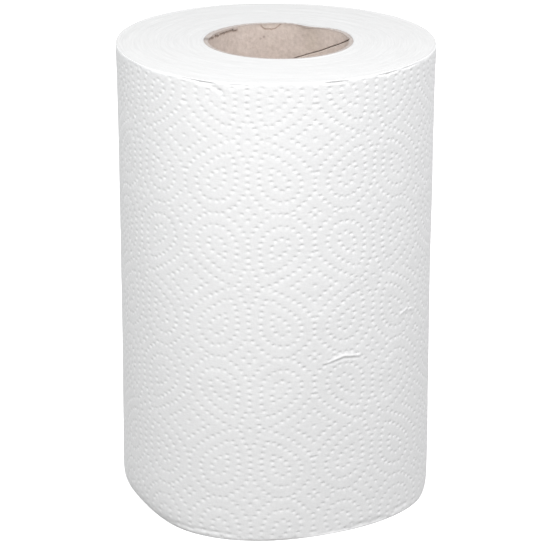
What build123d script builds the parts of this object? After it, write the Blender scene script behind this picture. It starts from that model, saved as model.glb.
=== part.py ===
from build123d import *
from math import sin, cos, exp, pi, radians
import os

# A small paper towel roll: a spirally wound board core and the paper wound
# tightly on it.  Millimetres, +Z up.  The origin is on the core's axis, in the
# plane of the bottom end.

# ---------------------------------------------------------------- dimensions
sheet_width = 202.0          # width of the paper web, so the height of the roll
roll_radius = 67.5           # mean outer radius of the wound paper
core_inner_radius = 30.0     # standard 60 mm spindle tube
core_wall = 1.8              # board wall
core_outer_radius = core_inner_radius + core_wall

# The wound body has gone a little out of true: its middle is off the core's.
roll_middle_x = -1.10
roll_middle_y = -0.74

# Lengthwise profile, as shares of the radius: a short flare at the top end,
# and a very slight waist.
flare_at_top = 0.00965
flare_fade = 0.12            # share of the height
taper = -0.00325
waist = 0.01466

# Out-of-round of the section, as shares of the radius.  Each row is
# (lobes, cosine part, sine part); angles run from -Y towards +X.
lobes_at_top = ((2, 0.00447, -0.01080), (3, 0.00714, -0.00270))
lobes_at_bottom = (
    (2, -0.00540, -0.00630),
    (3, -0.00420, -0.01900),
    (4, 0.00210, -0.01050),
)

# The bottom edge is softly turned in where the roll was pressed on a table:
# (depth, angle in degrees, half width in degrees, height over which it fades).
pressed_edge = ((5.3, -64.3, 24.0, 2.79), (0.9, 81.7, 8.6, 3.41))
edge_ease = 0.6              # plain easing of both cut edges
edge_ease_fade = 0.9

section_points = 40
section_heights = (
    0.0, 0.7, 1.6, 3.0, 5.0, 8.0, 13.0, 24.0, 50.0, 85.0, 125.0,
    160.0, 180.0, 192.0, 198.0, 200.4, 201.4, sheet_width,
)


def lobes(table, angle):
    """Out-of-round of one end of the roll at this angle, as a share."""
    return sum(c * cos(n * angle) + s * sin(n * angle) for n, c, s in table)


def wound_radius(angle, z):
    """Outer radius of the wound paper at an angle from -Y and a height."""
    down = 1.0 - z / sheet_width
    share = 1.0 + flare_at_top * exp(-down / flare_fade)
    share += taper * (down - 0.5) + waist * (down - 0.5) ** 2
    share += (1.0 - down) * lobes(lobes_at_top, angle)
    share += down * lobes(lobes_at_bottom, angle)
    radius = roll_radius * share
    for depth, middle, half_width, fade in pressed_edge:
        off = (angle - radians(middle) + pi) % (2 * pi) - pi
        radius -= depth * exp(-((off / radians(half_width)) ** 2)) * exp(-z / fade)
    radius -= edge_ease * exp(-z / edge_ease_fade)
    radius -= edge_ease * exp(-(sheet_width - z) / edge_ease_fade)
    return radius


def section(z):
    """Points of the outer outline of the wound paper at a height."""
    ring = []
    for i in range(section_points):
        angle = 2 * pi * i / section_points + pi
        r = wound_radius(angle, z)
        ring.append((roll_middle_x + r * sin(angle), roll_middle_y - r * cos(angle)))
    return ring


os.makedirs("parts", exist_ok=True)

# ------------------------------------------------- the core: one board tube
with BuildPart() as core_tube:
    with BuildSketch(Plane.XY):
        Circle(core_outer_radius)
        Circle(core_inner_radius, mode=Mode.SUBTRACT)
    extrude(amount=sheet_width)
core_tube.part.label = "core_tube"
export_step(core_tube.part, "parts/core_tube.step")

# ------------------------- the wound paper: every turn together, one solid
with BuildPart() as paper_roll:
    for z in section_heights:
        with BuildSketch(Plane.XY.offset(z)):
            with BuildLine():
                Spline(*section(z), periodic=True)
            make_face()
    loft(ruled=True)
    with BuildSketch(Plane.XY):
        Circle(core_outer_radius)
    extrude(amount=sheet_width, mode=Mode.SUBTRACT)
paper_roll.part.label = "paper_roll"
export_step(paper_roll.part, "parts/paper_roll.step")
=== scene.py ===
from math import sin, cos, pi, radians, atan
import bpy
import numpy as np
from mathutils import Matrix, Vector
from mathutils.geometry import delaunay_2d_cdt


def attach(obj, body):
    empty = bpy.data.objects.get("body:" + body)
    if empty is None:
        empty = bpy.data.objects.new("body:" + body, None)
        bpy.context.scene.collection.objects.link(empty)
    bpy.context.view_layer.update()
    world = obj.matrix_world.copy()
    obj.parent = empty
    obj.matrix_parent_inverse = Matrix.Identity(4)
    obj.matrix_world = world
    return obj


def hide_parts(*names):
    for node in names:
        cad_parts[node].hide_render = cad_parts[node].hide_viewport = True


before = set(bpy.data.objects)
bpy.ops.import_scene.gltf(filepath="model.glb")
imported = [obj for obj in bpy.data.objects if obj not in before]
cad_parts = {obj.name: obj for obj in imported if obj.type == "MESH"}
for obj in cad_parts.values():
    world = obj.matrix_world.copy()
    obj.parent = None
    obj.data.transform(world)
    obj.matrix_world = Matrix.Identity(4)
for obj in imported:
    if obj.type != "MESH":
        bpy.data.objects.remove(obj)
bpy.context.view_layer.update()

rng = np.random.default_rng(7)
MM = 0.001

# ---------------------------------------------------------------- the shape
# The same outer form as the wound paper's solid, in millimetres.
SHEET = 202.0
R0 = 67.5
MX, MY = -1.10, -0.74
CORE_IN, CORE_OUT = 30.0, 31.8
TOP_LOBES = ((2, 0.00447, -0.01080), (3, 0.00714, -0.00270))
LOW_LOBES = ((2, -0.00540, -0.00630), (3, -0.00420, -0.01900), (4, 0.00210, -0.01050))
PRESSED = ((5.3, -64.3, 24.0, 2.79), (0.9, 81.7, 8.6, 3.41))
TAIL = radians(196.0)        # where the free edge of the sheet lies, at the back
PLY = 0.36                   # thickness of the outermost sheet at its free edge


def lobes(table, a):
    return sum(c * np.cos(n * a) + s * np.sin(n * a) for n, c, s in table)


def wound_radius(a, z):
    down = 1.0 - z / SHEET
    share = 1.0 + 0.00965 * np.exp(-down / 0.12)
    share = share - 0.00325 * (down - 0.5) + 0.01466 * (down - 0.5) ** 2
    share = share + (1.0 - down) * lobes(TOP_LOBES, a) + down * lobes(LOW_LOBES, a)
    r = R0 * share
    for depth, mid, half, fade in PRESSED:
        off = (a - radians(mid) + pi) % (2 * pi) - pi
        r = r - depth * np.exp(-((off / radians(half)) ** 2)) * np.exp(-z / fade)
    r = r - 0.6 * np.exp(-z / 0.9) - 0.6 * np.exp(-(SHEET - z) / 0.9)
    return r


def visual_radius(a, z):
    """The same form, with its two cut edges eased a little less."""
    r = wound_radius(a, z) + 0.6 * np.exp(-z / 0.9) + 0.6 * np.exp(-(SHEET - z) / 0.9)
    return r - 0.28 * np.exp(-z / 0.5) - 0.36 * np.exp(-(SHEET - z) / 0.5)


# arc length along the section at mid height, from the front
_a = np.linspace(-pi, 3 * pi, 8001)
_r = wound_radius(_a, np.full_like(_a, 100.0))
_x, _y = MX + _r * np.sin(_a), MY - _r * np.cos(_a)
_s = np.concatenate([[0.0], np.cumsum(np.hypot(np.diff(_x), np.diff(_y)))])
_s -= np.interp(0.0, _a, _s)


def arc_of(a):
    return np.interp(a, _a, _s)


def angle_of(s):
    return np.interp(s, _s, _a)


# ------------------------------------------------------- the embossed pattern
CELL_U, CELL_V = 55.1, 63.07
HUB_S, HUB_Z = -10.48, 114.9


def curve(points, count, closed=True):
    """Evenly spaced dots along a smooth curve through a few points."""
    p = np.array(points, float)
    n = len(p)
    q = []
    last = n if closed else n - 1
    for i in range(last):
        if closed:
            p0, p1, p2, p3 = p[i - 1], p[i], p[(i + 1) % n], p[(i + 2) % n]
        else:
            p1, p2 = p[i], p[i + 1]
            p0 = p[i - 1] if i else 2 * p1 - p2
            p3 = p[i + 2] if i + 2 < n else 2 * p2 - p1
        for t in np.linspace(0, 1, 24, endpoint=False):
            q.append(0.5 * (2 * p1 + (p2 - p0) * t + (2 * p0 - 5 * p1 + 4 * p2 - p3) * t * t
                            + (3 * p1 - p0 - 3 * p2 + p3) * t ** 3))
    q.append(p[0] if closed else p[-1])
    q = np.array(q)
    d = np.concatenate([[0], np.cumsum(np.hypot(*np.diff(q, axis=0).T))])
    at = np.linspace(0, d[-1], count, endpoint=not closed)
    return np.stack([np.interp(at, d, q[:, 0]), np.interp(at, d, q[:, 1])], 1)


# one quarter of a cell: three nested teardrops, diamonds between them
outer = curve([(5.8, 0), (16.1, 4.5), (22.7, 9.4), (27.0, 15.0), (27.6, 21.3), (22.0, 27.9),
               (16.4, 31.5), (10.6, 31.0), (4.6, 27.2), (0.3, 20.5), (0.0, 11.0), (2.8, 5.4)], 32)
middle = curve([(7.4, 5.8), (14.9, 9.2), (20.9, 15.0), (21.8, 20.5), (17.4, 25.7), (10.6, 25.6),
                (5.6, 20.9), (4.8, 13.9)], 21)
inner = curve([(10.0, 12.2), (15.1, 15.1), (17.1, 19.2), (14.2, 21.5), (10.6, 19.6), (9.4, 15.2)], 9)
big = curve([(18.1, 0), (23.1, 3.5), (27.55, 7.3)], 5, False)
quarter = np.concatenate([outer, middle, inner, big, [(27.55, 0), (0, 0)],
                          [(27.55 - 2.1, 31.53), (27.55, 31.53 - 1.65), (2.5, 31.53), (0, 31.53 - 2.65)]])
cell = np.concatenate([quarter * m for m in ((1, 1), (-1, 1), (1, -1), (-1, -1))])
dots = []
for i in range(-4, 12):
    for j in range(-3, 4):
        dots.append(cell + (i * CELL_U, j * CELL_V))
dots = np.concatenate(dots)
s_low, s_high = arc_of(TAIL - 2 * pi), arc_of(TAIL)
ds_, dz_ = dots[:, 0] - 0.0154 * dots[:, 1], dots[:, 1] + 0.0074 * dots[:, 0]
dots = np.stack([HUB_S + ds_, HUB_Z + dz_], 1)
# the web wanders a little as it is wound
_u, _v = np.clip(dots[:, 0], -78, 78) / 60, (dots[:, 1] - 100) / 80
dots[:, 0] += (-0.03 + 0.20 * _v - 0.03 * _v ** 2 + 0.11 * _v ** 3 + 0.08 * _u - 0.13 * _u * _v - 0.32 * _u * _v ** 2
               + 0.47 * _u ** 2 - 0.40 * _u ** 2 * _v + 0.42 * _u ** 3)
dots[:, 1] += (-0.05 - 0.06 * _v - 0.23 * _v ** 2 + 0.32 * _v ** 3 + 0.01 * _u + 0.38 * _u * _v + 0.24 * _u * _v ** 2
               - 0.37 * _u ** 2 * _v - 0.33 * _u ** 3)
keep = (dots[:, 0] > s_low - 1) & (dots[:, 0] < s_high + 1) & (dots[:, 1] > -1) & (dots[:, 1] < SHEET + 1)
dots = dots[keep]
# mirrored copies share the dots on their common edges
order = np.lexsort((dots[:, 1], dots[:, 0]))
dots = dots[order]
alive = np.ones(len(dots), bool)
for i in range(len(dots)):
    if not alive[i]:
        continue
    j = i + 1
    while j < len(dots) and dots[j, 0] - dots[i, 0] < 1.3:
        if alive[j] and abs(dots[j, 1] - dots[i, 1]) < 1.3 and np.hypot(*(dots[j] - dots[i])) < 1.3:
            dots[i] = (dots[i] + dots[j]) / 2
            alive[j] = False
        j += 1
dots = dots[alive]
dots += rng.normal(0, 0.10, dots.shape)
depths = 0.285 * (1 + rng.normal(0, 0.12, len(dots)))
DOT_S, DOT_Z = 0.90, 0.72     # half widths of a dimple, at 1/e of its depth


# ---------------------------------------------------------------- the wall
def soft_noise(x, y, scale, seed):
    """Smooth value noise."""
    g = np.random.default_rng(seed).normal(0, 1, (256, 256))
    fx, fy = x / scale, y / scale
    ix, iy = np.floor(fx).astype(int), np.floor(fy).astype(int)
    tx, ty = fx - ix, fy - iy
    tx, ty = tx * tx * tx * (tx * (6 * tx - 15) + 10), ty * ty * ty * (ty * (6 * ty - 15) + 10)
    g00, g10 = g[iy % 256, ix % 256], g[iy % 256, (ix + 1) % 256]
    g01, g11 = g[(iy + 1) % 256, ix % 256], g[(iy + 1) % 256, (ix + 1) % 256]
    return (g00 * (1 - tx) + g10 * tx) * (1 - ty) + (g01 * (1 - tx) + g11 * tx) * ty


# folds of the outer ply: points (s, z), height, half width
FOLDS = [
    ([(22, 79.6), (31, 81.8), (40, 80.5)], 0.34, 0.62),
    ([(22, 78.5), (31, 80.6), (40, 79.3)], -0.20, 0.6),
    ([(61.7, 93.2), (66.3, 94.5), (72.3, 92.8)], 0.30, 0.65),
    # the outermost ply stands off below the rim
    ([(-41, 201.4), (-36, 201.3), (-31, 201.1), (-24.8, 200.7)], -0.5, 0.42),
    ([(-33, 200.9), (-28.5, 200.4), (-25.2, 199.9)], -0.34, 1.0),
    ([(-25.4, 200.0), (-23.2, 198.3), (-20.2, 196.1)], -0.26, 1.1),
    ([(-20, 200.8), (-16, 200.9), (-9, 200.6)], -0.22, 0.7),
    ([(19.5, 201.3), (23, 201.1), (29.6, 201.1)], -0.85, 0.42),
    ([(43.5, 201.3), (50, 201.0), (56.5, 201.3)], -0.5, 0.42),
    ([(57, 201.3), (63, 201.2), (70, 201.3)], -0.4, 0.36),
    # where the lower edge was pressed
    ([(-60, 1.0), (-50, 1.7), (-41, 2.7), (-32, 3.1), (-22, 2.9), (-12, 2.4)], -0.20, 0.85),
    ([(-44, 1.2), (-34, 1.5), (-24, 1.3), (-15, 1.0)], 0.07, 0.9),
    ([(32, 1.2), (44, 1.6), (56, 1.4)], -0.36, 1.3),
    ([(58, 3.2), (63, 3.0), (70, 3.8)], -0.26, 1.1),
]


def fold_height(s, z):
    out = np.zeros_like(s)
    for points, height, width in FOLDS:
        p = np.array(points, float)
        sel = ((s > p[:, 0].min() - 4) & (s < p[:, 0].max() + 4)
               & (z > p[:, 1].min() - 4) & (z < p[:, 1].max() + 4))
        if not sel.any():
            continue
        ss, zs = s[sel], z[sel]
        best, along = np.full(ss.shape, 1e9), np.zeros(ss.shape)
        for k in range(len(p) - 1):
            a, d = p[k], p[k + 1] - p[k]
            t = np.clip(((ss - a[0]) * d[0] + (zs - a[1]) * d[1]) / (d @ d), 0, 1)
            dist = np.hypot(ss - a[0] - t * d[0], zs - a[1] - t * d[1])
            near = dist < best
            best, along = np.where(near, dist, best), np.where(near, (k + t) / (len(p) - 1), along)
        out[sel] += height * np.exp(-(best / width) ** 2) * np.sin(pi * np.clip(along, 0.03, 0.97)) ** 0.5
    return out


# the cut edge of the rim is a little uneven
rim_at = np.radians([-180, -130, -95, -76, -68, -56, -45, -34, -25, -18, -11, -6, 2, 10, 18, 24, 33, 43, 57, 72, 95, 140, 180])
rim_dz = -0.457 * np.array([0.2, -0.3, 0, -0.9, 0.6, 0.9, 1.1, 0.8, 1.2, 0.9, 0.6, -0.2, -0.6, -1.0, -1.3, -1.6, -1.1, -0.9, -0.2, 1.2, 0.9, 0.1, 0.2]) * 0.8


def rim_height(a):
    w = (a + pi) % (2 * pi) - pi
    return np.minimum(np.interp(w, rim_at, rim_dz), 0.0) + 0.03 * (np.sin(17 * w + 1) - 1) + 0.02 * (np.sin(31 * w) - 1)


def base_point(s, z):
    """The wall without its dimples, in millimetres."""
    a = angle_of(s)
    edge = np.clip(np.minimum(z, SHEET - z) / 1.2, 0, 1)
    edge = edge * edge * (3 - 2 * edge)
    h = 0.012 * soft_noise(s, z, 3.1, 1) + 0.035 * soft_noise(s, z, 9.0, 2) + 0.11 * soft_noise(s, z * 0.5, 24.0, 3)
    h = (h + fold_height(s, z)) * edge
    r = visual_radius(a, z) + h - PLY * (s - s_low) / (s_high - s_low)
    zz = z + rim_height(a) * np.exp(-(SHEET - z) / 3.0)
    return np.stack([MX + r * np.sin(a), MY - r * np.cos(a), zz], -1)


def hexes(s0, s1, z0, z1, pitch):
    rows = int((z1 - z0) / (pitch * 0.866)) + 1
    cols = int((s1 - s0) / pitch) + 1
    i, j = np.meshgrid(np.arange(cols), np.arange(rows))
    return np.stack([s0 + (i + 0.5 * (j % 2)) * pitch, z0 + j * pitch * 0.866], -1).reshape(-1, 2)


EDGE_ROWS = np.array([0.0, 0.22, 0.5, 0.85, 1.3, 1.9, 2.6])
n_edge = 800
edge_s = np.linspace(s_low, s_high, n_edge + 1)
side_z = np.concatenate([EDGE_ROWS, np.arange(3.4, SHEET - 3.0, 0.9), (SHEET - EDGE_ROWS)[::-1]])
points = [np.stack(np.meshgrid(edge_s[1:-1], np.concatenate([EDGE_ROWS, SHEET - EDGE_ROWS])), -1).reshape(-1, 2),
          np.stack([np.full(len(side_z), s_low), side_z], 1), np.stack([np.full(len(side_z), s_high), side_z], 1)]
# rings of points about each dimple
loose = [dots]
for radius, count in ((0.32, 6), (0.62, 8), (0.92, 10), (1.28, 12)):
    ang = np.arange(count) * 2 * pi / count + radius * 5
    loose.append((dots[:, None, :] + radius * np.stack([np.cos(ang), np.sin(ang)], 1)[None]).reshape(-1, 2))
ring_points = np.concatenate(loose)
# filler points between the dimples, kept clear of each dimple's rings
filler = hexes(s_low + 0.8, s_high - 0.8, 3.4, SHEET - 3.4, 1.35)
filler = filler + rng.uniform(-0.12, 0.12, filler.shape)
order = np.argsort(filler[:, 0])
filler = filler[order]
free = np.ones(len(filler), bool)
for s0, z0 in dots:
    i0, i1 = np.searchsorted(filler[:, 0], [s0 - 1.8, s0 + 1.8])
    d = np.hypot(filler[i0:i1, 0] - s0, filler[i0:i1, 1] - z0)
    free[i0:i1] &= d > 1.75
filler = filler[free]
inner = np.concatenate([ring_points, filler])
inner = inner[(inner[:, 0] > s_low + 0.35) & (inner[:, 0] < s_high - 0.35)
              & (inner[:, 1] > 3.0) & (inner[:, 1] < SHEET - 3.0)]
# a dense patch along each fold takes the place of what lies there
for pts, _, _ in FOLDS:
    q = np.array(pts, float)
    patch = hexes(q[:, 0].min() - 1.5, q[:, 0].max() + 1.5, q[:, 1].min() - 1.8, q[:, 1].max() + 1.8, 0.42)
    patch = patch[(patch[:, 1] > 0.05) & (patch[:, 1] < SHEET - 0.05)]
    lo, hi = patch.min(0), patch.max(0)
    inner = inner[~((inner[:, 0] > lo[0] - 0.2) & (inner[:, 0] < hi[0] + 0.2)
                    & (inner[:, 1] > lo[1] - 0.2) & (inner[:, 1] < hi[1] + 0.2))]
    inner = np.concatenate([inner, patch])
points.append(inner)
flat = np.concatenate(points)
key = np.round(flat / 0.05).astype(np.int64)
_, first = np.unique(key[:, 0] * 1000003 + key[:, 1], return_index=True)
flat = flat[np.sort(first)]
print("wall points", len(flat))

made = delaunay_2d_cdt([Vector(v) for v in flat], [], [], 0, 1e-6, False)
flat = np.array([(v[0], v[1]) for v in made[0]])
tris = np.array([f for f in made[2] if len(f) == 3], dtype=np.int64)
e1, e2 = flat[tris[:, 1]] - flat[tris[:, 0]], flat[tris[:, 2]] - flat[tris[:, 0]]
cross = e1[:, 0] * e2[:, 1] - e1[:, 1] * e2[:, 0]
tris[cross < 0] = tris[cross < 0][:, ::-1]
tris = tris[np.abs(cross) > 1e-6]
print("wall triangles", len(tris))

fs, fz = flat[:, 0].copy(), flat[:, 1].copy()
sort = np.argsort(fs)
ss, zs = fs[sort], fz[sort]
h = np.zeros(len(ss)); hs = np.zeros(len(ss)); hz = np.zeros(len(ss))
for (s0, z0), dep in zip(dots, depths):
    i0, i1 = np.searchsorted(ss, [s0 - 3.2, s0 + 3.2])
    ds, dz = ss[i0:i1] - s0, zs[i0:i1] - z0
    # the upper side of a dimple is the steeper one
    for amp, ws, wz in ((-dep, DOT_S, DOT_Z * np.where(dz > 0, 0.87, 1.13)), (0.20 * dep, 1.75, 1.60)):
        g = amp * np.exp(-(ds / ws) ** 2 - (dz / wz) ** 2)
        h[i0:i1] += g
        hs[i0:i1] -= 2 * ds / ws ** 2 * g
        hz[i0:i1] -= 2 * dz / wz ** 2 * g
edge = np.clip(np.minimum(zs, SHEET - zs) / 1.2, 0, 1)
back = np.empty(len(sort), int)
back[sort] = np.arange(len(sort))
h, hs, hz = (h * edge)[back], (hs * edge)[back], (hz * edge)[back]
EPS = 0.05
P0 = base_point(fs, fz)
Ts = (base_point(fs + EPS, fz) - base_point(fs - EPS, fz)) / (2 * EPS)
Tz = (base_point(fs, fz + EPS) - base_point(fs, fz - EPS)) / (2 * EPS)
N0 = np.cross(Ts, Tz)
N0 /= np.linalg.norm(N0, axis=1, keepdims=True)
WP = P0 + h[:, None] * N0
WN = np.cross(Ts + hs[:, None] * N0, Tz + hz[:, None] * N0)
WN /= np.linalg.norm(WN, axis=1, keepdims=True)


def face_mesh(name, verts, faces, normals=None):
    k = faces.shape[1]
    me = bpy.data.meshes.new(name)
    me.vertices.add(len(verts))
    me.vertices.foreach_set("co", (verts * MM).astype(np.float32).ravel())
    me.loops.add(faces.size)
    me.loops.foreach_set("vertex_index", faces.ravel().astype(np.int32))
    me.polygons.add(len(faces))
    me.polygons.foreach_set("loop_start", np.arange(0, faces.size, k, dtype=np.int32))
    me.polygons.foreach_set("loop_total", np.full(len(faces), k, dtype=np.int32))
    me.polygons.foreach_set("use_smooth", np.ones(len(faces), bool))
    me.update(calc_edges=True)
    me.validate()
    if normals is not None:
        me.normals_split_custom_set_from_vertices(normals.astype(np.float32))
    ob = bpy.data.objects.new(name, me)
    bpy.context.scene.collection.objects.link(ob)
    return ob


def grid_mesh(name, P, close=False):
    rows, cols = P.shape[:2]
    idx = np.arange(rows * cols).reshape(rows, cols)
    nxt = np.roll(idx, -1, axis=1) if close else idx[:, 1:]
    cur = idx if close else idx[:, :-1]
    f = np.stack([cur[:-1], nxt[:-1], nxt[1:], cur[1:]], -1).reshape(-1, 4)
    return face_mesh(name, P.reshape(-1, 3), f)


pieces = []
middle_s = flat[tris, 0].mean(1)
cuts = np.linspace(s_low, s_high, 5)
for k in range(4):
    part = tris[(middle_s >= cuts[k]) & ((middle_s < cuts[k + 1]) | (k == 3))]
    used, new_index = np.unique(part, return_inverse=True)
    pieces.append(face_mesh(f"paper_wall_{k + 1}", WP[used], new_index.reshape(-1, 3), WN[used]))
# the free edge of the sheet: the narrow face of the last ply
left, rightmost = base_point(np.full_like(side_z, s_low), side_z), base_point(np.full_like(side_z, s_high), side_z)
pieces.append(grid_mesh("paper_free_edge", np.stack([rightmost, left], 1)))

# ------------------------------------------------------------ the end faces
TH = 360


def bump_at(a, mid, half):
    off = (a - radians(mid) + pi) % (2 * pi) - pi
    return np.exp(-(off / radians(half)) ** 2)


def core_dent(a):
    """How far the core's top edge is pushed in, in millimetres."""
    return 1.9 * bump_at(a, 152, 14) - 0.6 * bump_at(a, 117, 14)



def end_face(name, top, rings, seed):
    th = np.linspace(-pi, pi, TH, endpoint=False)
    t = np.linspace(0, 1, rings)
    T, B = np.meshgrid(t, th, indexing="ij")
    w = (B - TAIL + 2 * pi) % (2 * pi)
    sh = (arc_of(TAIL - 2 * pi + w) - s_low) / (s_high - s_low)
    z_edge = np.full_like(B, SHEET if top else 0.0)
    ro = visual_radius(B, z_edge) - PLY * sh
    ox, oy = MX + ro * np.sin(B), MY - ro * np.cos(B)
    ri = CORE_OUT - (core_dent(B) if top else 0)
    ix, iy = ri * np.sin(B), -ri * np.cos(B)
    X, Y = ix + (ox - ix) * T, iy + (oy - iy) * T
    radial = T * 35.5
    g = 0.035 * soft_noise(radial * 3.1, B * 9 + 50, 1.0, seed) + 0.035 * soft_noise(radial * 1.3, B * 4 + 20, 1.0, seed + 1)
    g += 0.09 * soft_noise(radial * 0.35, B * 2 + 10, 1.0, seed + 2)
    body = np.clip(np.minimum(T / 0.03, (1 - T) / 0.03), 0, 1)
    drop = 0.35 + g * body
    if top:
        Zf = SHEET - np.maximum(drop * body, 0) + rim_height(B) * T ** 8
    else:
        Zf = np.maximum(drop * body, 0.0) * 0.8
    Q = np.stack([X, Y, Zf], -1)
    inside = Q[:1].copy()
    inside[..., 2] += -3.0 if top else 3.0
    Q = np.concatenate([inside, Q])
    if top:
        Q = Q[:, ::-1]
        Q = np.roll(Q, 1, axis=1)
    return grid_mesh(name, Q, close=True)


face_top = end_face("paper_top_end", True, 121, 21)
face_bottom = end_face("paper_bottom_end", False, 61, 31)
pieces += [face_top, face_bottom]

# ---------------------------------------------------------------- the core
TURN = 2 * pi * CORE_IN
SEAM = np.array([(94.7, 201.8), (108.2, 199.2), (118, 197.0), (131.9, 193.8), (142.9, 191.1), (151.6, 189.4), (164.3, 186.8)])
LIP = np.array([(264, 201.5), (258, 200.9), (251.4, 200.5), (242.5, 200.2), (237, 200.3), (231.3, 200.4), (225.5, 200.3), (221, 200.5), (216.5, 200.1)])
FLAP = np.array([(195.0, 201.0), (193.4, 199.9), (190.5, 199.2), (186.2, 199.0), (182.9, 199.4), (180.4, 200.3), (178.3, 201.4), (177.2, 202.2)])
CRACK = np.array([(164.5, 201.8), (161.5, 201.2), (158.5, 201.35), (155.5, 201.8)])


def seam_height(az):
    """Height of the seam between the inner ply's turns, at an angle in degrees."""
    low = 186.8 - 0.40 * radians(1) * CORE_IN * (az - 164.3)
    return np.where(az > 164.3, low, np.interp(az, SEAM[:, 0], SEAM[:, 1]))


def line_distance(az, z, line):
    best = np.full(az.shape, 1e9)
    q = np.stack([np.radians(line[:, 0]) * CORE_IN, line[:, 1]], 1)
    s = np.radians(az) * CORE_IN
    for k in range(len(q) - 1):
        a, d = q[k], q[k + 1] - q[k]
        u = np.clip(((s - a[0]) * d[0] + (z - a[1]) * d[1]) / (d @ d), 0, 1)
        best = np.minimum(best, np.hypot(s - a[0] - u * d[0], z - a[1] - u * d[1]))
    return best


def core_marks(az, z):
    """Distances to the core's seam, lip, flap and crack, at angles in degrees."""
    seam = np.full(az.shape, 1e9)
    for k in range(4):
        a = az + 360 * k
        d = np.where(a > 94.0, (z - seam_height(a)) * 0.93, 1e9)
        seam = np.where(np.abs(d) < np.abs(seam), d, seam)
    wob = 0.22 * soft_noise(az * 0.9, z * 0 + 3, 1.0, 41) + 0.14 * soft_noise(az * 2.3, z * 0 + 9, 1.0, 42)
    lip = line_distance(az, z - wob, LIP)
    lip_side = z - wob - np.interp(-az, -LIP[:, 0], LIP[:, 1])
    flap = line_distance(az, z - 0.4 * wob, FLAP)
    flap_in = ((az > 177.2) & (az < 195) & (z > np.interp(-az, -FLAP[:, 0], FLAP[:, 1])))
    crack = line_distance(az, z, CRACK)
    return seam, lip, lip_side, flap, flap_in, crack


def lip_zone(az):
    return np.clip((az - 215.5) / 2.5, 0, 1) * np.clip((270 - az) / 12, 0, 1)


def bore_point(s, z):
    az = np.degrees(s / CORE_IN)
    seam, lip, lip_side, flap, flap_in, crack = core_marks(az, z)
    near_top = np.exp(-(SHEET - z) / 7.0)
    a = np.radians(az)
    inward = core_dent(a) * near_top
    inward = inward + 0.16 * np.exp(-(SHEET - z) / 1.0)
    wide = 0.17 + 0.22 * np.exp(-np.abs(az - 98) / 14) * np.exp(-(SHEET - z) / 6)
    inward = inward - 0.75 * np.exp(-(seam / wide) ** 2) + 0.14 * np.clip(-seam / 0.5, -1, 1) * np.exp(-np.abs(seam) / 6)
    rise = np.clip(lip_side / 0.35 + 0.5, 0, 1)
    inward = inward + lip_zone(az) * (0.5 * rise * rise * (3 - 2 * rise) - 0.25 * np.exp(-(lip / 0.28) ** 2))
    inward = inward + 0.16 * flap_in * np.clip(flap / 0.3, 0, 1) - 0.14 * np.exp(-(flap / 0.16) ** 2)
    inward = inward - 0.10 * np.exp(-(crack / 0.2) ** 2)
    inward = inward + 0.030 * soft_noise(az * 0.26, z * 0.5, 1.0, 43) + 0.015 * soft_noise(az * 1.0, z * 1.9, 1.0, 44)
    r = CORE_IN - inward
    return np.stack([r * np.sin(a), -r * np.cos(a), z + 0 * r], -1)


def bore_colour(s, z):
    az = np.degrees(s / CORE_IN)
    seam, lip, lip_side, flap, flap_in, crack = core_marks(az, z)
    c = np.tile(np.array([0.646, 0.564, 0.512]), (len(s), 1))
    patch = 0.5 + 0.5 * np.tanh(soft_noise(az * 0.115, z * 0.22, 1.0, 51))
    c = c * (1 + 0.05 * (patch - 0.5))[:, None]

    def mix(amount, colour):
        nonlocal c
        c = c * (1 - amount[:, None]) + np.array(colour) * amount[:, None]
    mix(0.30 * np.exp(-((az - 150) / 6) ** 2 - ((z - 195) / 5) ** 2), (0.56, 0.50, 0.40))
    mix(0.16 * np.clip(soft_noise(az * 0.16 + 7, z * 0.3, 1.0, 52), 0, 1.5), (0.72, 0.64, 0.57))
    mix(0.8 * lip_zone(az) * np.clip(lip_side / 0.3, 0, 1), (0.60, 0.525, 0.485))
    # painted shadow: a dark brown band just below the lip's ledge, where the ledge casts its shade
    mix(0.62 * lip_zone(az) * np.exp(-((lip_side + 0.35) / 0.45) ** 2), (0.31, 0.22, 0.175))
    mix(0.45 * flap_in.astype(float), (0.69, 0.60, 0.53))
    mix(0.60 * np.exp(-(flap / 0.24) ** 2), (0.36, 0.22, 0.16))
    mix(0.50 * np.exp(-(crack / 0.24) ** 2), (0.38, 0.24, 0.18))
    # the seam is a real joint between the board's turns; its near-black colour is painted shade, the shade inside its
    # groove
    wide = 0.17 + 0.24 * np.exp(-np.abs(az - 98) / 14) * np.exp(-(SHEET - z) / 6)
    mix(0.93 * np.exp(-(seam / wide) ** 2), (0.055, 0.03, 0.02))
    for fa, fz, size, dark in ((192.2, 195.9, 0.42, 0.8), (195.1, 195.1, 0.34, 0.5), (171, 190, 0.3, 0.25), (208, 193, 0.3, 0.3)):
        d = np.hypot((az - fa) * radians(1) * CORE_IN, (z - fz) * 0.8)
        mix(dark * np.exp(-(d / size) ** 2), (0.16, 0.10, 0.075))
    mix(0.75 * np.exp(-(SHEET - 0.2 - z) / 0.45), (0.46, 0.41, 0.38))
    return c


def give_colour(ob, rgb):
    at = ob.data.color_attributes.new("board", "FLOAT_COLOR", "POINT")
    at.data.foreach_set("color", np.concatenate([rgb, np.ones((len(rgb), 1))], 1).astype(np.float32).ravel())


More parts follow.
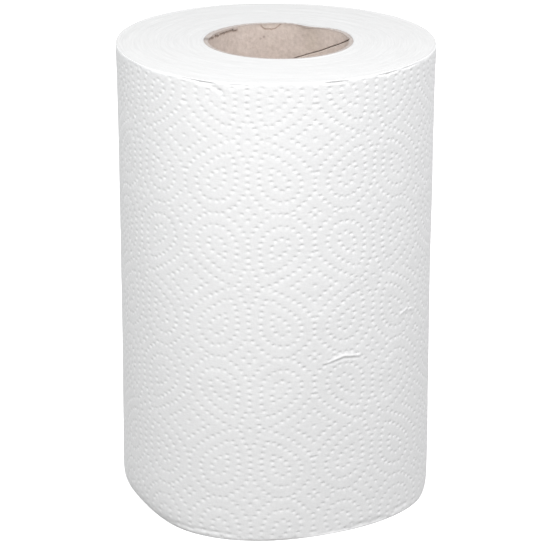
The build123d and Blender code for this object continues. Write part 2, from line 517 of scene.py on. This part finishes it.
BORE_TOP = SHEET - 0.32
side = np.concatenate([np.arange(0.3, 160, 4.0), np.arange(162, 176, 2.0), np.arange(177, BORE_TOP - 0.4, 0.7), [BORE_TOP]])
ring = np.linspace(0, TURN, 361)
pts = [np.stack([np.zeros(len(side)), side], 1), np.stack([np.full(len(side), TURN), side], 1),
       np.stack([ring[1:-1], np.full(359, 0.3)], 1), np.stack([ring[1:-1], np.full(359, BORE_TOP)], 1),
       hexes(1.8, TURN - 1.8, 3.0, 174, 3.2), hexes(0.5, TURN - 0.5, 176.5, BORE_TOP - 0.35, 0.55)]
for line in (LIP, FLAP, CRACK):
    q = np.stack([np.radians(line[:, 0]) * CORE_IN, line[:, 1]], 1)
    pts.append(hexes(q[:, 0].min() - 0.5, q[:, 0].max() + 0.5, q[:, 1].min() - 0.8, min(q[:, 1].max() + 0.6, BORE_TOP - 0.12), 0.27))
for k in range(4):
    a = np.linspace(94.7, 454.7, 700) + 360 * (k > 0) * 0 + 360 * k
    zz = seam_height(a)
    keep_it = (zz > 1.0) & (zz < BORE_TOP - 0.1)
    a, zz = a[keep_it], zz[keep_it]
    for off in (-0.6, -0.34, -0.16, 0.0, 0.16, 0.34, 0.6):
        q = np.stack([(np.radians(a) * CORE_IN) % TURN, zz + off], 1)
        q = q[(q[:, 1] > 0.8) & (q[:, 1] < BORE_TOP - 0.08) & (q[:, 0] > 0.3) & (q[:, 0] < TURN - 0.3)]
        pts.append(q)
cf = np.concatenate(pts)
key = np.round(cf / 0.04).astype(np.int64)
_, first = np.unique(key[:, 0] * 1000003 + key[:, 1], return_index=True)
cf = cf[np.sort(first)]
made = delaunay_2d_cdt([Vector(v) for v in cf], [], [], 0, 1e-6, False)
cf = np.array([(v[0], v[1]) for v in made[0]])
ctri = np.array([f for f in made[2] if len(f) == 3], dtype=np.int64)
e1, e2 = cf[ctri[:, 1]] - cf[ctri[:, 0]], cf[ctri[:, 2]] - cf[ctri[:, 0]]
cross = e1[:, 0] * e2[:, 1] - e1[:, 1] * e2[:, 0]
ctri[cross > 0] = ctri[cross > 0][:, ::-1]        # the bore faces the axis
ctri = ctri[np.abs(cross) > 1e-6]
cs, cz = cf[:, 0], cf[:, 1]
CP = bore_point(cs, cz)
ta = (bore_point(cs + 0.04, cz) - bore_point(cs - 0.04, cz)) / 0.08
tb = (bore_point(cs, cz + 0.04) - bore_point(cs, cz - 0.04)) / 0.08
CN = -np.cross(ta, tb)
CN /= np.linalg.norm(CN, axis=1, keepdims=True)
core = face_mesh("core_bore_wall", CP, ctri, CN)
give_colour(core, bore_colour(cs, cz))
print("core triangles", len(ctri))

# the cut edge of the board, from the bore over to its outside
CT = 360
ct = ring[:-1] / CORE_IN
first_row = bore_point(ring[:-1], np.full(CT, BORE_TOP))
r_in = np.hypot(first_row[:, 0], first_row[:, 1])
top_dip = 0.10 + 0.75 * bump_at(ct, 153, 13) + 0.25 * bump_at(ct, 186, 9) + 0.05 * soft_noise(np.degrees(ct) * 0.4, ct * 0 + 2, 1.0, 61)
top_dip = np.clip(top_dip + 0.04 * soft_noise(np.degrees(ct) * 1.3, ct * 0 + 5, 1.0, 62), 0.0, 2)
r_out = CORE_OUT - 0.03 - core_dent(ct)
rows = [first_row]
for share_in, drop_in in ((0.06, 0.10), (0.22, 0.02), (0.5, 0.0), (0.78, 0.02), (0.94, 0.10), (1.0, 0.28)):
    rr = r_in + (r_out - r_in) * share_in
    rows.append(np.stack([rr * np.sin(ct), -rr * np.cos(ct), SHEET - top_dip - drop_in], -1))
rows.append(np.stack([r_out * np.sin(ct), -r_out * np.cos(ct), np.full(CT, SHEET - 3.0)], -1))
rows[0][:, 2] = np.minimum(rows[0][:, 2], SHEET - top_dip - 0.2)
rim = grid_mesh("core_top_rim", np.stack(rows)[:, ::-1], close=True)
rc = np.tile(np.array([0.43, 0.385, 0.36]), (len(rows), CT, 1)) * (1 + 0.05 * rng.normal(0, 1, (1, CT, 1)))
rc[1:, (np.degrees(ct) > 264) & (np.degrees(ct) < 272)] *= 0.7
give_colour(rim, rc[:, ::-1].reshape(-1, 3))
# the lower rim, plain
low = [(CORE_OUT - 0.05, 6.0), (CORE_OUT - 0.05, 0.4), (CORE_OUT - 0.4, 0.05), (CORE_IN + 0.4, 0.05), (CORE_IN, 0.3)]
LQ = np.stack([np.stack([r * np.sin(ct), -r * np.cos(ct), np.full(CT, z)], -1) for r, z in low])
core_low = grid_mesh("core_lower_rim", LQ[:, ::-1], close=True)
give_colour(core_low, np.tile(np.array([0.68, 0.60, 0.55]), (len(low) * CT, 1)))


# ---------------------------------------------------------------- materials
def material(name):
    m = bpy.data.materials.new(name)
    m.use_nodes = True
    return m, m.node_tree.nodes, m.node_tree.links, m.node_tree.nodes["Principled BSDF"]


def noise(nodes, links, scale, detail=3.0, stretch=None, rough=0.5):
    tc = nodes.new("ShaderNodeTexCoord")
    n = nodes.new("ShaderNodeTexNoise")
    n.inputs["Scale"].default_value = scale
    n.inputs["Detail"].default_value = detail
    n.inputs["Roughness"].default_value = rough
    if stretch:
        mp = nodes.new("ShaderNodeMapping")
        mp.inputs["Scale"].default_value = stretch
        links.new(tc.outputs["Object"], mp.inputs["Vector"])
        links.new(mp.outputs["Vector"], n.inputs["Vector"])
    else:
        links.new(tc.outputs["Object"], n.inputs["Vector"])
    return n


def ramp(nodes, links, source, c0, c1, p0=0.3, p1=0.7):
    r = nodes.new("ShaderNodeValToRGB")
    r.color_ramp.elements[0].position = p0
    r.color_ramp.elements[1].position = p1
    r.color_ramp.elements[0].color = (*c0, 1)
    r.color_ramp.elements[1].color = (*c1, 1)
    links.new(source, r.inputs["Fac"])
    return r


def add_bump(nodes, links, bsdf, source, distance, strength, prev=None):
    b = nodes.new("ShaderNodeBump")
    b.inputs["Distance"].default_value = distance
    b.inputs["Strength"].default_value = strength
    links.new(source, b.inputs["Height"])
    if prev:
        links.new(prev.outputs["Normal"], b.inputs["Normal"])
    links.new(b.outputs["Normal"], bsdf.inputs["Normal"])
    return b


tissue, n, l, b = material("tissue_embossed")
b.inputs["Roughness"].default_value = 0.95
b.inputs["Specular IOR Level"].default_value = 0.12
cloud = noise(n, l, 900.0, 4.0)
l.new(ramp(n, l, cloud.outputs["Fac"], (0.885, 0.885, 0.888), (0.935, 0.935, 0.935)).outputs["Color"], b.inputs["Base Color"])
fib = noise(n, l, 2600.0, 3.0, (1, 1, 0.5))
one = add_bump(n, l, b, fib.outputs["Fac"], 0.00012, 0.5)
crepe = noise(n, l, 700.0, 3.0, (1, 1, 2.2))
add_bump(n, l, b, crepe.outputs["Fac"], 0.00020, 0.45, one)

ends, n, l, b = material("tissue_cut_end")
b.inputs["Roughness"].default_value = 0.95
b.inputs["Specular IOR Level"].default_value = 0.1
tc = n.new("ShaderNodeTexCoord")
sep = n.new("ShaderNodeSeparateXYZ")
l.new(tc.outputs["Object"], sep.inputs[0])
px = n.new("ShaderNodeMath"); px.operation = "MULTIPLY"
l.new(sep.outputs["X"], px.inputs[0]); l.new(sep.outputs["X"], px.inputs[1])
py = n.new("ShaderNodeMath"); py.operation = "MULTIPLY"
l.new(sep.outputs["Y"], py.inputs[0]); l.new(sep.outputs["Y"], py.inputs[1])
sm = n.new("ShaderNodeMath"); sm.operation = "ADD"
l.new(px.outputs[0], sm.inputs[0]); l.new(py.outputs[0], sm.inputs[1])
rad = n.new("ShaderNodeMath"); rad.operation = "SQRT"
l.new(sm.outputs[0], rad.inputs[0])
comb = n.new("ShaderNodeCombineXYZ")
sx = n.new("ShaderNodeMath"); sx.operation = "MULTIPLY"; sx.inputs[1].default_value = 0.05
sy = n.new("ShaderNodeMath"); sy.operation = "MULTIPLY"; sy.inputs[1].default_value = 0.05
l.new(sep.outputs["X"], sx.inputs[0]); l.new(sep.outputs["Y"], sy.inputs[0])
l.new(rad.outputs[0], comb.inputs["X"])
l.new(sx.outputs[0], comb.inputs["Y"]); l.new(sy.outputs[0], comb.inputs["Z"])
turns = n.new("ShaderNodeTexNoise")
turns.inputs["Scale"].default_value = 1500.0
turns.inputs["Detail"].default_value = 3.0
l.new(comb.outputs[0], turns.inputs["Vector"])
# painted shade: the cut end gets a greyer base than the same paper on the wall, standing in for the shade between the
# ply edges; the fine streaks along the turns are the ends' own
l.new(ramp(n, l, turns.outputs["Fac"], (0.602, 0.601, 0.600), (0.648, 0.647, 0.645), 0.25, 0.65).outputs["Color"], b.inputs["Base Color"])
one = add_bump(n, l, b, turns.outputs["Fac"], 0.00025, 0.3)
fib2 = noise(n, l, 2200.0, 3.0)
add_bump(n, l, b, fib2.outputs["Fac"], 0.00012, 0.4, one)

board, n, l, b = material("core_board_grey")
b.inputs["Roughness"].default_value = 0.85
b.inputs["Specular IOR Level"].default_value = 0.25
mott = noise(n, l, 620.0, 5.0, None, 0.6)
own = n.new("ShaderNodeVertexColor")
own.layer_name = "board"
tint = ramp(n, l, mott.outputs["Fac"], (0.88, 0.87, 0.86), (1.10, 1.10, 1.11), 0.3, 0.7)
mixed = n.new("ShaderNodeMix")
mixed.data_type = "RGBA"
mixed.blend_type = "MULTIPLY"
mixed.inputs["Factor"].default_value = 1.0
l.new(own.outputs["Color"], mixed.inputs[6])
l.new(tint.outputs["Color"], mixed.inputs[7])
l.new(mixed.outputs[2], b.inputs["Base Color"])
one = add_bump(n, l, b, mott.outputs["Fac"], 0.00015, 0.5)
fib3 = noise(n, l, 1800.0, 3.0)
add_bump(n, l, b, fib3.outputs["Fac"], 0.0001, 0.4, one)

for ob in pieces:
    ob.data.materials.append(ends if "end" in ob.name else tissue)
    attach(ob, "root")
    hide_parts("paper_roll")
for ob in (core, rim, core_low):
    ob.data.materials.append(board)
    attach(ob, "root")
    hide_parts("core_tube")

# ------------------------------------------------------- floor, light, camera
me = bpy.data.meshes.new("floor")
me.from_pydata([(-6, -6, 0), (6, -6, 0), (6, 6, 0), (-6, 6, 0)], [], [(0, 1, 2, 3)])
floor = bpy.data.objects.new("floor", me)
bpy.context.scene.collection.objects.link(floor)
fm, n, l, b = material("floor_white")
b.inputs["Base Color"].default_value = (0.8, 0.8, 0.8, 1)
b.inputs["Roughness"].default_value = 0.9
b.inputs["Emission Color"].default_value = (1, 1, 1, 1)
b.inputs["Emission Strength"].default_value = 0.75
me.materials.append(fm)
floor.visible_diffuse = False

# a soft studio: bright overhead, paler towards the ground
world = bpy.data.worlds.new("world")
bpy.context.scene.world = world
world.use_nodes = True
wn, wl = world.node_tree.nodes, world.node_tree.links
wc = wn.new("ShaderNodeTexCoord")
wsep = wn.new("ShaderNodeSeparateXYZ")
wl.new(wc.outputs["Generated"], wsep.inputs[0])
half = wn.new("ShaderNodeMath"); half.operation = "MULTIPLY_ADD"
half.inputs[1].default_value = 0.5; half.inputs[2].default_value = 0.5
wl.new(wsep.outputs["Z"], half.inputs[0])
sky = wn.new("ShaderNodeValToRGB")
wl.new(half.outputs[0], sky.inputs["Fac"])
sky.color_ramp.elements[0].position = 0.0
sky.color_ramp.elements[0].color = (0.36, 0.36, 0.36, 1)
sky.color_ramp.elements[1].position = 1.0
sky.color_ramp.elements[1].color = (0.98, 0.98, 0.98, 1)
for at, v in ((0.42, 0.44), (0.56, 0.74), (0.78, 0.92)):
    e = sky.color_ramp.elements.new(at)
    e.color = (v, v, v, 1)
wl.new(sky.outputs["Color"], wn["Background"].inputs["Color"])
wn["Background"].inputs["Strength"].default_value = 0.915


def area(name, at, to, size, power, colour=(1, 1, 1)):
    d = bpy.data.lights.new(name, "AREA")
    d.size = size
    d.energy = power
    d.color = colour
    o = bpy.data.objects.new(name, d)
    o.location = at
    o.rotation_euler = (Vector(to) - Vector(at)).to_track_quat("-Z", "Y").to_euler()
    o.visible_camera = False
    bpy.context.scene.collection.objects.link(o)


area("front_box", (-0.05, -0.38, 0.56), (0, 0, 0.12), 0.38, 1.94)
area("right_box", (0.40, -0.10, 0.62), (0, 0, 0.12), 0.38, 0.82, (0.98, 0.99, 1.03))
area("left_box", (-0.42, -0.08, 0.60), (0, 0, 0.12), 0.38, 0.12, (0.80, 1.0, 1.06))

th, ro = 0.34278, 0.00745
ps = 0.00036
fw = Vector((sin(ps) * cos(th), cos(ps) * cos(th), -sin(th)))
right = Vector((cos(ps), -sin(ps), 0))
up = right.cross(fw)
r2 = cos(ro) * right + sin(ro) * up
u2 = -sin(ro) * right + cos(ro) * up
cam_data = bpy.data.cameras.new("camera")
cam_data.sensor_width = 36
cam_data.lens = 2527.31 * 36 / 550
cam = bpy.data.objects.new("camera", cam_data)
M = Matrix((r2, u2, -fw)).transposed().to_4x4()
M.translation = Vector((-1.10, -1043.03, 468.33)) * MM
cam.matrix_world = M
bpy.context.scene.collection.objects.link(cam)
bpy.context.scene.camera = cam
bpy.context.scene.view_settings.view_transform = "Standard"
